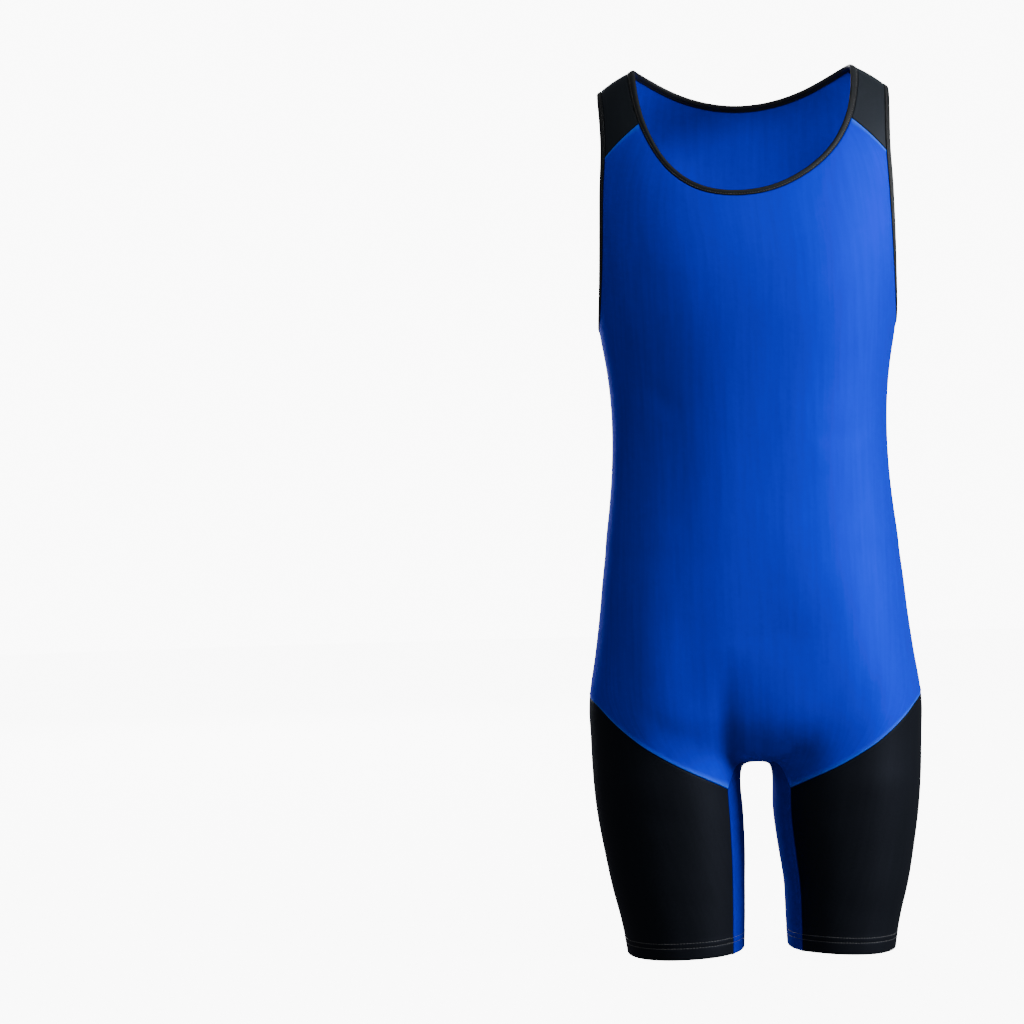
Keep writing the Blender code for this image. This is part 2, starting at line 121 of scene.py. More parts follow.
# Seam between body and leg, from the side seam to the inside of the leg, the same in front and behind
HIP_SIDE = -646.0
HIP_SEAM = table(
    Edge,
    (158, -659), (146, -671), (132, -683), (116.6, -694.5), (101, -704),
    (84, -713.5), (66, -722.5), (48, -731.5), (31.5, -741),
)
# Seam between body and gusset under the crotch, from the end of the hip seam to the middle
CROTCH_SEAM = {
    "front": table(Corner, (24, -57, -734), (17.5, -48, -722), (8, -38, -717), (0, -34, -716)),
    "back": table(Corner, (24, 58, -734), (17.5, 50, -722), (8, 41, -717), (0, 38, -716)),
}
GUSSET_HEM_X = 35.0  # how far out the gusset reaches at the hem

MIRROR = np.array([-1.0, 1.0, 1.0])
FLOOR, FLOOR_REACH, FLOOR_SIDES = -917.0, 6000.0, 64


def columns_of(rows):
    """Each column of a table as heights, values and slopes."""
    at = np.array([row.height for row in rows][::-1], float)
    columns = {}
    for name in rows[0]._fields[1:]:
        value = np.array([getattr(row, name) for row in rows][::-1], float)
        columns[name] = (at, value, np.gradient(value, at))
    return columns


def smooth_step(t, step, start, start_slope, end, end_slope):
    """A share t of the way between two values a step apart, with a given slope at each."""
    return (
        (1 + 2 * t) * (1 - t) ** 2 * start
        + t * (1 - t) ** 2 * step * start_slope
        + t**2 * (3 - 2 * t) * end
        - t**2 * (1 - t) * step * end_slope
    )


def along(columns, name, height):
    """A smooth curve through one column of a table, level past its ends."""
    at, value, slope = columns[name]
    i = np.clip(np.searchsorted(at, height) - 1, 0, len(at) - 2)
    step = at[i + 1] - at[i]
    t = np.clip((height - at[i]) / step, 0, 1)
    return smooth_step(t, step, value[i], slope[i], value[i + 1], slope[i + 1])


TORSO_COLUMNS, LEG_COLUMNS, ARM_COLUMNS = columns_of(TORSO), columns_of(LEG), columns_of(ARM_EDGE)


def form(p):
    """Roughly the distance outside the general figure: torso and two legs, joined softly."""
    x, y, z = p[..., 0], p[..., 1], p[..., 2]
    depth = np.where(y < 0, along(TORSO_COLUMNS, "front", z), along(TORSO_COLUMNS, "back", z))
    torso = (
        (np.abs(x) / along(TORSO_COLUMNS, "half_width", z)) ** SECTION_POWER
        + (np.abs(y) / depth) ** SECTION_POWER
        + np.maximum(0, (z - SHOULDER_START) / SHOULDER_RISE) ** END_POWER
        + np.maximum(0, (SEAT_START - z) / SEAT_DROP) ** SEAT_POWER
    ) ** (1 / SECTION_POWER)
    parts = [TORSO_SCALE * (torso - 1)]
    deep = np.abs(y - along(LEG_COLUMNS, "centre_y", z)) / along(LEG_COLUMNS, "half_depth", z)
    for side in (1, -1):
        wide = np.abs(side * x - along(LEG_COLUMNS, "centre_x", z))
        wide = wide / along(LEG_COLUMNS, "half_width", z)
        high = np.maximum(0, (z - LEG_TOP) / LEG_ROUND)
        leg = (wide**END_POWER + deep**END_POWER + high**END_POWER) ** (1 / END_POWER)
        parts.append(LEG_SCALE * (leg - 1))
    rise = np.clip((z - FOLD_HEIGHT) / FOLD_RISE, 0, 1)
    fold = TIGHT_FOLD + (SOFT_FOLD - TIGHT_FOLD) * rise**2 * (3 - 2 * rise)
    return -fold * np.log(sum(np.exp(-np.clip(part, -FARTHEST, FARTHEST) / fold) for part in parts))


def slope_of(p):
    """How fast the distance grows along each axis."""
    step = 0.02
    return np.stack(
        [(form(p + step * axis) - form(p - step * axis)) / (2 * step) for axis in np.eye(3)], -1
    )


def normal(p):
    """Unit directions straight out of the form."""
    g = slope_of(p)
    return g / np.linalg.norm(g, axis=-1, keepdims=True)


def onto(p, times=6):
    """Points moved onto the form, along its slope."""
    for _ in range(times):
        g = slope_of(p)
        p = p - g * (form(p) / (g**2).sum(-1))[..., None]
    return p


def cast(start, way, reach=260.0):
    """Where straight lines from inside the form leave it."""
    low = np.zeros(start.shape[:-1])
    high = np.full(start.shape[:-1], reach)
    for _ in range(45):
        middle = (low + high) / 2
        inside = form(start + way * middle[..., None]) < 0
        low, high = np.where(inside, middle, low), np.where(inside, high, middle)
    return start + way * low[..., None]


def on_face(x, height, side):
    """The point of the front or the back of the form at this x and height."""
    way = np.array([0.0, -1.0 if side == "front" else 1.0, 0.0])
    return cast(np.array([x, 0.0, height], float), way)


def lengths(points):
    """Distance along a polyline to each of its points."""
    steps = np.linalg.norm(np.diff(points, axis=0), axis=1)
    return np.concatenate([[0.0], np.cumsum(steps)])


def points_at(want, at, points):
    """Points of a polyline at given distances along it."""
    return np.stack([np.interp(want, at, points[:, k]) for k in range(3)], -1)


def spaced(points, count):
    """A polyline cut again into equal steps."""
    at = lengths(points)
    return points_at(np.linspace(0, at[-1], count + 1), at, points)


def curve(points, count=120):
    """A smooth line on the form near a few given points."""
    points = np.array(points, float)
    at = lengths(points)
    slope = np.gradient(points, at, axis=0)
    want = np.linspace(0, at[-1], count + 1)
    i = np.clip(np.searchsorted(at, want) - 1, 0, len(at) - 2)
    step = (at[i + 1] - at[i])[:, None]
    t = (want - at[i])[:, None] / step
    smooth = smooth_step(t, step, points[i], slope[i], points[i + 1], slope[i + 1])
    return onto(spaced(onto(smooth), count))


def relaxed(loop, times):
    """A closed loop with its small unevenness smoothed away."""
    for _ in range(times):
        loop = onto((np.roll(loop, 1, 0) + 2 * loop + np.roll(loop, -1, 0)) / 4, 2)
    return loop


def beside(loop, distance):
    """A closed loop moved sideways over the form, away from its own middle."""
    steps = 4
    for _ in range(steps):
        tangent = np.roll(loop, -1, 0) - np.roll(loop, 1, 0)
        side = np.cross(tangent, normal(loop))
        side /= np.linalg.norm(side, axis=1, keepdims=True)
        middle = loop.mean(0)
        if (side * (loop - middle)).sum(1).mean() < 0:
            side = -side
        loop = onto(loop + side * distance / steps, 3)
    return loop


def nearest(loop, corner):
    """Index of the point of a loop that is nearest to a corner."""
    return int(np.argmin(np.linalg.norm(loop - np.array(corner, float), axis=1)))


def stretch(loops, first, last, count):
    """The same stretch of several matching loops, in equal steps of the first of them."""
    index = np.arange(first, last + 1 if last >= first else last + 1 + len(loops[0])) % len(loops[0])
    at = lengths(loops[0][index])
    want = np.linspace(0, at[-1], count + 1)
    return [onto(points_at(want, at, loop[index])) for loop in loops]


def closed(half):
    """A loop from its left half, which starts and ends in the middle."""
    half[[0, -1], 0] = 0
    return np.concatenate([half, mirrored(half)[-2:0:-1]])


def neck_loops():
    """Outer and inner edges of the neck binding; index 0 is the middle of the front."""
    front = [on_face(edge.x, edge.height, "front") for edge in NECK_FRONT]
    back = [on_face(edge.x, edge.height, "back") for edge in NECK_BACK]
    inner = relaxed(closed(curve(front + back, count=160)), times=60)
    return beside(inner, NECK_BINDING), inner


def arm_loops():
    """Outer and inner edges of the left armhole's binding; index 0 is the lowest point."""
    turn = np.linspace(0, 2 * np.pi, 240, endpoint=False)
    way = np.stack([np.zeros_like(turn), -np.sin(turn), -np.cos(turn)], -1)
    x = np.full(len(turn), ARMHOLE_X)
    for _ in range(5):
        inner = cast(np.stack([x, 0 * x, 0 * x + ARMHOLE_CENTRE], -1), way)
        x = along(ARM_COLUMNS, "x", inner[:, 2])
    inner = relaxed(inner, times=20)
    return beside(inner, ARM_BINDING), inner


def hem_height(x):
    """Height of the hem's edge at a distance from the middle."""
    return HEM_HEIGHT - HEM_FALL * (x - HEM_MIDDLE)


def round_leg(turn, above_hem):
    """Points round the left leg at a height above its hem; turn 0 is outside, -90 degrees in front."""
    reach = 85.0  # stops short of the other leg
    z = np.full(len(turn), HEM_HEIGHT + above_hem)
    way = np.stack([np.cos(turn), np.sin(turn), np.zeros_like(turn)], -1)
    for _ in range(4):
        start = np.stack([along(LEG_COLUMNS, "centre_x", z), np.zeros_like(z), z], -1)
        points = cast(start, way, reach)
        z = hem_height(points[:, 0]) + above_hem
    return points


def turn_of(point):
    """The turn round the left leg at which a point lies."""
    return np.arctan2(point[1], point[0] - along(LEG_COLUMNS, "centre_x", point[2]))


def blend_rows(top, bottom, left, right):
    """A grid between four edges that share their corners, in proportion along the edges."""

    def share(a, b):
        a, b = lengths(a), lengths(b)
        return (a / a[-1] + b / b[-1]) / 2

    u = share(top, bottom)[None, :, None]
    v = share(left, right)[:, None, None]
    return (
        (1 - v) * top[None] + v * bottom[None] + (1 - u) * left[:, None] + u * right[:, None]
        - (1 - u) * (1 - v) * top[0] - u * (1 - v) * top[-1]
        - (1 - u) * v * bottom[0] - u * v * bottom[-1]
    )


def settle(grid, times=60):
    """The inside of a grid laid on the form and evened out."""
    grid = grid.copy()
    grid[1:-1, 1:-1] = onto(grid[1:-1, 1:-1], 12)
    for _ in range(times):
        mean = (grid[:-2, 1:-1] + grid[2:, 1:-1] + grid[1:-1, :-2] + grid[1:-1, 2:]) / 4
        grid[1:-1, 1:-1] = onto(mean, 2)
    return grid


def rim_of(rows, columns):
    """Grid indices once round the edge."""
    across, down = np.arange(columns), np.arange(rows)
    return (
        [(0, j) for j in across[:-1]]
        + [(i, columns - 1) for i in down[:-1]]
        + [(rows - 1, j) for j in across[:0:-1]]
        + [(i, 0) for i in down[:0:-1]]
    )


# Steps along each edge: those of the solids, cut finer because this cloth is seen
FINE = 4
NECK_STEPS = (10 * FINE, 9 * FINE, 10 * FINE)  # in front of the yoke, along it and behind it
ARM_STEPS = (12 * FINE, 9 * FINE, 12 * FINE)
YOKE_STEPS, SIDE_STEPS = 4 * FINE, 17 * FINE
HIP_STEPS, CROTCH_STEPS = 11 * FINE, 3 * FINE
GUSSET_STEPS, GUSSET_ACROSS = 9 * FINE, 8 * FINE
EDGE_ROWS = (0.45, 0.9, 1.5, 2.3)  # extra lines of points beside a seam
EDGE_STEP = 3.2  # the least room that they are fitted to

# Sewing
SEAM_DIP, SEAM_DIP_WIDTH = 0.75, 0.55  # how deep and how wide the cloth sinks into a seam
SEAM_RIDGE, SEAM_RIDGE_AT, SEAM_RIDGE_WIDTH = 0.5, 1.25, 0.65  # the turned edge that stands beside it
HEM_STITCHES = (12.5, 17.6)  # rows of stitches above the hem edge
HEM_STITCH_DIP, HEM_STITCH_WIDTH, HEM_STITCH_LIFT = 0.3, 0.45, 0.02
HEM_SWELL, SWELL_GROWS, SWELL_ENDS = 0.25, 3.0, 1.5  # how far the folded hem stands out, and where
HEM_ROUND = 0.96  # share of a half circle that rounds its edge
HEM_ROWS = (
    (HEM_DEPTH, 18.3, 17.9, 17.6, 17.3, 16.8, 15.8, 14.3, 13.2, 12.8, 12.5, 12.2, 11.8, 10.4, 8.0)
    + (5.5, 3.4, 2.1, 1.3, 0.8, 0.4, 0.15, 0.0)
)
Stitch = namedtuple("Stitch", "length step radius")
HEM_STITCH = Stitch(2.3, 3.1, 0.26)
BINDING_STITCH = Stitch(2.0, 2.7, 0.2)
THREAD_SIDES = 6
THREAD_WIDE, THREAD_HIGH = 1.15, 0.8  # a thread lies a little flat
THREAD_LIFT = 0.55  # how far it stands out, in shares of its radius
# Along a stitch: share of its length, share of its thickness and how far it sinks there
THREAD_RINGS = ((0, 0.45, 0.55), (0.22, 1, 0.1), (0.78, 1, 0.1), (1, 0.45, 0.55))
BINDING_MIDDLE = -1.0  # the middle of the strip's thickness
BINDING_STITCHES, BINDING_STITCH_LIFT = 1.72, 0.36  # how far in from its outer edge, and how high
NECK_SLIMMER = 0.28  # share of its width that the neck binding loses in front
SLIMMER_START, SLIMMER_GROWS = 40, 50  # how far forward that begins, and over what distance

# Near a seam the cloth is held flat
RIPPLE_START, RIPPLE_GROWS = 2.0, 10.0
CREASE_GROWS, CREASE_AT_SEAM = 14.0, 0.25
LEVEL_INSIDE = 3.0  # the inside of the cloth takes no part in a seam nearer than this


def mirrored(points):
    """The same points on the other side of the body."""
    return points * MIRROR


def joined(*lines):
    """Lines end to end, each starting at the end of the one before."""
    return np.concatenate([lines[0]] + [line[1:] for line in lines[1:]])


def between(grid, axis, count):
    """The grid with straight steps added along one axis."""
    grid = np.moveaxis(grid, axis, 0)
    want = np.arange((len(grid) - 1) * count + 1) / count
    low = np.minimum(want.astype(int), len(grid) - 2)
    part = (want - low)[:, None, None]
    return np.moveaxis(grid[low] * (1 - part) + grid[low + 1] * part, 0, axis)


def panel(top, bottom, left, right):
    """A fine grid between four edges, evened out first at the spacing of the solids."""
    coarse = settle(blend_rows(*(edge[::FINE] for edge in (top, bottom, left, right))))
    grid = between(between(coarse, 0, FINE), 1, FINE)
    grid[0], grid[-1], grid[:, 0], grid[:, -1] = top, bottom, left, right
    return settle(grid, 12)


def bordered(grid, axis, starts=True, ends=True):
    """The grid with lines of points added close beside its first and last line."""
    grid = np.moveaxis(grid, axis, 0)

    def extra(edge, beside_it):
        step = np.linalg.norm(beside_it - edge, axis=-1, keepdims=True)
        way = (beside_it - edge) / np.maximum(step, EDGE_STEP)
        return [onto(edge + way * distance, 3) for distance in EDGE_ROWS]

    first = extra(grid[0], grid[1]) if starts else []
    last = extra(grid[-1], grid[-2])[::-1] if ends else []
    grid = np.stack([grid[0], *first, *grid[1:-1], *last, grid[-1]])
    return np.moveaxis(grid, 0, axis)


def away_from(points, lines, step=0.4):
    """How far each point is from the nearest of several lines, and where along it, from 0 to 1."""
    flat = points.reshape(-1, 3)
    if not lines:
        return np.full(points.shape[:-1], FARTHEST), np.zeros(points.shape[:-1])
    samples = [spaced(line, max(2, int(lengths(line)[-1] / step))) for line in lines]
    at = np.concatenate([np.linspace(0, 1, len(sample)) for sample in samples])
    samples = np.concatenate(samples)
    tree = kdtree.KDTree(len(samples))
    for i, sample in enumerate(samples):
        tree.insert(sample, i)
    tree.balance()
    found = [tree.find(point) for point in flat]
    distance = np.array([hit[2] for hit in found]).reshape(points.shape[:-1])
    where = at[np.array([hit[1] for hit in found])].reshape(points.shape[:-1])
    return distance, where


def bump(distance, width):
    """A soft hump of height 1 round distance 0."""
    return np.exp(-((distance / width) ** 2))


def ease(low, high, value):
    """From 0 at one value to 1 at another, smooth at both ends."""
    t = np.clip((value - low) / (high - low), 0, 1)
    return t * t * (3 - 2 * t)


# Soft troughs and ridges of the cloth: points on a face as x and height, half the
# width, and the height of the ridge
Crease = namedtuple("Crease", "points width lift")
CREASES = {
    "front": table(
        Crease,
        (((-28, -600), (-35, -645), (-34, -690), (-24, -722)), 12.0, -2.5),
        (((-26, -701), (4, -704), (36, -702)), 14.0, 4.0),
        (((-78, -215), (-84, -340), (-82, -470), (-72, -600), (-50, -690)), 40.0, -3.6),
        (((8, -585), (12, -650), (12, -690), (8, -716)), 40.0, 6.0),
        (((-58, -560), (-66, -620), (-52, -690)), 17.0, -0.9),
        (((-108, -322), (-92, -346), (-66, -360)), 12.0, -0.9),
        (((120, -366), (96, -384), (62, -390)), 13.0, -1.1),
        (((-124, -650), (-96, -676), (-56, -690)), 11.0, -1.0),
        (((122, -636), (98, -668), (66, -686)), 14.0, -1.2),
    ),
    "back": table(
        Crease,
        (((-90, -385), (-40, -398), (15, -394), (70, -404)), 15.0, -2.2),
        (((-60, -432), (-10, -441), (52, -436)), 13.0, -1.7),
        (((10, -640), (-14, -672), (-20, -708)), 14.0, -1.6),
        (((66, -655), (42, -686), (24, -716)), 13.0, -1.5),
        (((-74, -662), (-50, -690), (-30, -720)), 12.0, -1.2),
        (((-96, -300), (-86, -335), (-66, -362)), 13.0, -0.7),
    ),
    "leg_front": table(
        Crease,
        (((112, -742), (84, -764), (58, -770)), 10.0, -0.6),
        (((60, -850), (88, -866), (120, -860)), 13.0, -0.5),
        (((-126, -756), (-98, -770), (-66, -768)), 11.0, -0.6),
        (((-52, -846), (-80, -858), (-108, -852)), 14.0, -0.5),
    ),
    "leg_back": table(
        Crease,
        (((-120, -760), (-90, -782), (-54, -786)), 12.0, -0.7),
        (((-60, -842), (-88, -858), (-112, -856)), 12.0, -0.5),
        (((118, -748), (84, -775), (50, -780)), 11.0, -0.7),
        (((54, -830), (84, -852), (116, -846)), 14.0, -0.6),
    ),
}


def crease_lift(points, groups):
    """How far groups of creases raise or lower each point of a panel."""
    lift = np.zeros(points.shape[:-1])
    for group in groups:
        face = group.split("_")[-1]
        for crease in CREASES[group]:
            line = curve([on_face(x, height, face) for x, height in crease.points], 40)
            distance, where = away_from(points, [line], 2.0)
            fade = np.clip(np.sin(np.pi * np.clip(where, 0, 1)), 0, 1) ** 0.8
            lift += crease.lift * bump(distance, crease.width) * fade
    return lift


# The front of the neck leans over and hangs lower on the wearer's right
NECK_LEAN, NECK_DROP, NECK_HEIGHT, NECK_SPREAD, CHEST_HALF_WIDTH = -7.5, 2.0, -138, 46, 150
# The legs lean over at the hem, more so inside, and the left one is lifted
LEG_LEAN, INSIDE_LEAN, LEFT_LEG_LIFT = 1, 5, 3
OUTSIDE_X, LEG_WIDTH = 140, 110


def sway(points):
    """The small ways in which the worn garment isn't even, from one side to the other."""
    x, y, z = points[..., 0], points[..., 1], points[..., 2]
    chest = bump(z - NECK_HEIGHT, NECK_SPREAD) * ease(20, 70, -y)
    chest = chest * np.clip(1 - (x / CHEST_HALF_WIDTH) ** 2, 0, 1)
    inside = np.clip((OUTSIDE_X - np.abs(x)) / LEG_WIDTH, 0, 1)
    across = NECK_LEAN * chest + ease(-740, -860, z) * (LEG_LEAN + INSIDE_LEAN * inside)
    up = LEFT_LEG_LIFT * ease(0, 60, x) * ease(-760, -900, z) - NECK_DROP * chest * ease(10, -60, x)
    return points + np.stack([across, 0 * across, up], -1)


# Faint upright waves of the stretched knit: share, length round the body, where it starts, how it
# wanders, and how much, how often and where it comes and goes up the body
Wave = namedtuple("Wave", "share length start wander fade fade_length fade_start")
WAVES = (
    Wave(0.55, 5.3, 0.0, 1.3, 0.4, 71, 2.0),
    Wave(0.45, 9.1, 2.1, 1.7, 0.4, 57, 0.0),
    Wave(0.5, 17.7, 0.4, -1.1, 0.0, 57, 0.0),
)
BODY_RADIUS = 105.0  # turns an angle round the body into millimetres


def ripple(points, amount):
    """How far the waves of the knit raise or lower each point."""
    x, y, z = points[..., 0], points[..., 1], points[..., 2]
    turn = np.arctan2(y, x) * BODY_RADIUS
    slow = 0.6 * np.sin(z / 97 + 0.7) + 0.4 * np.sin(z / 43 + turn / 61)
    return amount * sum(
        wave.share
        * np.sin(turn / wave.length + wave.start + wave.wander * slow)
        * (1 - wave.fade + wave.fade * np.sin(z / wave.fade_length + wave.fade_start))
        for wave in WAVES
    )


def shown(name, data):
    """A new object in the scene."""
    made = bpy.data.objects.new(name, data)
    bpy.context.scene.collection.objects.link(made)
    return made


def mesh_piece(name, points, faces, material, uv=None, marks=None, smooth=True):
    """A mesh object in metres, with its layout and marks for the material."""
    points = sway(np.asarray(points, float))
    faces = [tuple(int(i) for i in face) for face in faces]
    mesh = bpy.data.meshes.new(name)
    mesh.from_pydata((points / 1000).tolist(), [], faces)
    mesh.materials.append(material)
    if uv is not None:
        layer = mesh.uv_layers.new(name="UVMap")
        corner = np.empty(len(mesh.loops), int)
        mesh.loops.foreach_get("vertex_index", corner)
        layer.data.foreach_set("uv", (uv[corner] / 1000).astype(np.float32).ravel())
    for mark, values in (marks or {}).items():
        attribute = mesh.attributes.new(mark, "FLOAT", "POINT")
        attribute.data.foreach_set("value", np.asarray(values, np.float32).ravel())
    if smooth:
        mesh.shade_smooth()
    return shown(name, mesh)


def lay_flat(grid):
    """Distances across and down the cloth for each point of a grid, in millimetres."""
    across = np.linalg.norm(np.diff(grid, axis=1), axis=-1).cumsum(1)
    across = np.concatenate([np.zeros((len(grid), 1)), across], 1)
    middle = across[:, across.shape[1] // 2][:, None]
    down = np.linalg.norm(np.diff(grid, axis=0), axis=-1).cumsum(0)
    down = np.concatenate([np.zeros((1, grid.shape[1])), down], 0)
    return np.stack([across - middle, -down], -1)


# Painted shade where little light reaches the front of the crotch: its middle and spread across and
# in height, and how much of the colour it takes off
Shade = namedtuple("Shade", "x wide height tall amount")
SHADES = (Shade(-28, 10, -695, 42, 0.5), Shade(34, 12, -728, 16, 0.35))
SHADES_END = -735


def in_shade(points, amount):
    """How far painted shade darkens the colour at each point: where a shade lies, and wherever a piece
    says so.
    """
    x, y, z = points[..., 0], points[..., 1], points[..., 2]
    groin = sum(
        shade.amount * bump(x - shade.x, shade.wide) * bump(z - shade.height, shade.tall)
        for shade in SHADES
    )
    return np.clip(amount + groin * (y < 0) * (z > SHADES_END), 0, 1)


def cloth_piece(
    name, grid, material, ridges=(), seams=(), creases=(), thick=CLOTH, extra=0.0, rippled=0.11, shaded=0.0
):
    """A thin closed wall of cloth whose outside follows the grid, sunk at its seams."""
    rows, columns = grid.shape[:2]
    up = normal(grid)
    ridge_away = away_from(grid, ridges)[0]
    seam_away = np.minimum(ridge_away, away_from(grid, seams)[0])
    lift = -SEAM_DIP * bump(seam_away, SEAM_DIP_WIDTH)
    ridge = bump(ridge_away - SEAM_RIDGE_AT, SEAM_RIDGE_WIDTH)
    lift += SEAM_RIDGE * ridge
    lift += ripple(grid, rippled) * np.clip((seam_away - RIPPLE_START) / RIPPLE_GROWS, 0, 1)
    lift += crease_lift(grid, creases) * np.clip(seam_away / CREASE_GROWS, CREASE_AT_SEAM, 1)
    lift += extra
    outer = grid + up * lift[..., None]
    inner = grid - up * (thick - lift * (seam_away > LEVEL_INSIDE))[..., None]
    points = np.concatenate([outer.reshape(-1, 3), inner.reshape(-1, 3)])
    index = np.arange(rows * columns).reshape(rows, columns)
    under = rows * columns
    quads = np.stack([index[:-1, :-1], index[1:, :-1], index[1:, 1:], index[:-1, 1:]], -1)
    quads = quads.reshape(-1, 4)
    rim = np.array([index[i, j] for i, j in rim_of(rows, columns)])
    after = np.roll(rim, -1)
    sides = np.stack([after, rim, rim + under, after + under], -1)
    a, b, c = (points[quads[:, k]] for k in range(3))
    outward = (np.cross(b - a, c - a) * up.reshape(-1, 3)[quads[:, 0]]).sum(1).sum()
    faces = np.concatenate([quads, quads[:, ::-1] + under, sides])
    if outward < 0:
        faces = faces[:, ::-1]
    uv = np.concatenate([lay_flat(grid).reshape(-1, 2)] * 2)
    marks = {
        "seam_mm": np.concatenate([seam_away.ravel()] * 2),
        # the ridge's share, which the material also uses for a painted highlight
        "ridge": np.concatenate([ridge.ravel(), 0 * ridge.ravel()]),
        "inner": np.concatenate([np.zeros(under), np.ones(under)]),
        "shaded": np.tile(in_shade(grid, shaded).ravel(), 2),
    }
    return mesh_piece(name, points, faces, material, uv, marks)


def stitches(name, rows, material, stitch):
    """Short threads laid end to end along lines, each line with its own outward directions."""
    points, faces = [], []
    turns = np.linspace(0, 2 * np.pi, THREAD_SIDES, endpoint=False)
    for line, out in rows:
        at = lengths(line)
        count = max(1, int(at[-1] / stitch.step))
        for centre in (np.arange(count) + 0.5) * at[-1] / count:
            ends = (centre + half * stitch.length for half in (-0.5, 0.5))
            first, last = (points_at(end, at, line) for end in ends)
            up = points_at(centre, at, out)
            ahead = last - first
            ahead /= np.linalg.norm(ahead)
            up -= ahead * (up @ ahead)
            up /= np.linalg.norm(up)
            aside = np.cross(up, ahead)
            start = len(points)
            for share, thick, sink in THREAD_RINGS:
                middle = first + (last - first) * share + up * stitch.radius * (THREAD_LIFT - sink)
                for turn in turns:
                    out_of = np.cos(turn) * aside * THREAD_WIDE + np.sin(turn) * up * THREAD_HIGH
                    points.append(middle + stitch.radius * thick * out_of)
            for ring in range(len(THREAD_RINGS) - 1):
                for side in range(THREAD_SIDES):
                    a = start + ring * THREAD_SIDES + side
                    b = start + ring * THREAD_SIDES + (side + 1) % THREAD_SIDES
                    faces.append((a, b, b + THREAD_SIDES, a + THREAD_SIDES))
            faces.append(tuple(range(start, start + THREAD_SIDES))[::-1])
            faces.append(tuple(range(len(points) - THREAD_SIDES, len(points))))
    return mesh_piece(name, points, faces, material)


def binding_section(width):
    """Once round a folded strip: how far in from its outer edge, and how far out of the form."""
    half = [
        (0.05, -0.75), (0.12, -0.3), (0.3, 0.1), (0.65, 0.42), (1.1, 0.5), (1.55, 0.3), (1.9, 0.3),
        (2.35, 0.55), (3.1, 0.74), (0.55 * width, 0.82), (width - 2.4, 0.78), (width - 1.5, 0.6),
        (width - 0.8, 0.2), (width - 0.3, -0.35), (width, BINDING_MIDDLE),
    ]
    return half + [(across, 2 * BINDING_MIDDLE - out) for across, out in half[-2:0:-1]]


def binding_piece(name, outer, inner, material):
    """A folded strip over the edge of the cloth, a little fuller at its fold, and its line of stitches."""
    width = np.linalg.norm(outer - inner, axis=1).mean()
    rings = []
    for across, out in binding_section(width):
        at = onto(outer + (inner - outer) * across / width, 4)
        rings.append(at + normal(at) * out)
    rings = np.stack(rings, 1)
    index = np.arange(rings.shape[0] * rings.shape[1]).reshape(rings.shape[:2])
    ahead, turned = np.roll(index, -1, 0), np.roll(index, -1, 1)
    faces = np.stack([index, turned, np.roll(ahead, -1, 1), ahead], -1).reshape(-1, 4)
    points = rings.reshape(-1, 3)
    a, b, c = (points[faces[:, k]] - points.mean(0) for k in range(3))
    if (np.cross(a, b) * c).sum() < 0:
        faces = faces[:, ::-1]
    run, round_it = lengths(outer), lengths(rings[0])
    uv = np.stack(np.broadcast_arrays(run[:, None], round_it[None]), -1).reshape(-1, 2)
    made = mesh_piece(name, points, faces, material, uv)
    # Where the ring of points closes, the layout runs on instead of starting again
    layer = made.data.uv_layers["UVMap"].data
    for polygon in made.data.polygons:
        corners = [layer[k].uv for k in polygon.loop_indices]
        for axis, whole in ((0, run[-1] / 1000), (1, round_it[-1] / 1000)):
            high = max(corner[axis] for corner in corners)
            for corner in corners:
                if high - corner[axis] > whole / 2:
                    corner[axis] += whole
    line = onto(outer + (inner - outer) * BINDING_STITCHES / width, 4)
    up = normal(line)
    line = line + up * BINDING_STITCH_LIFT
    return made, (np.concatenate([line, line[:1]]), np.concatenate([up, up[:1]]))


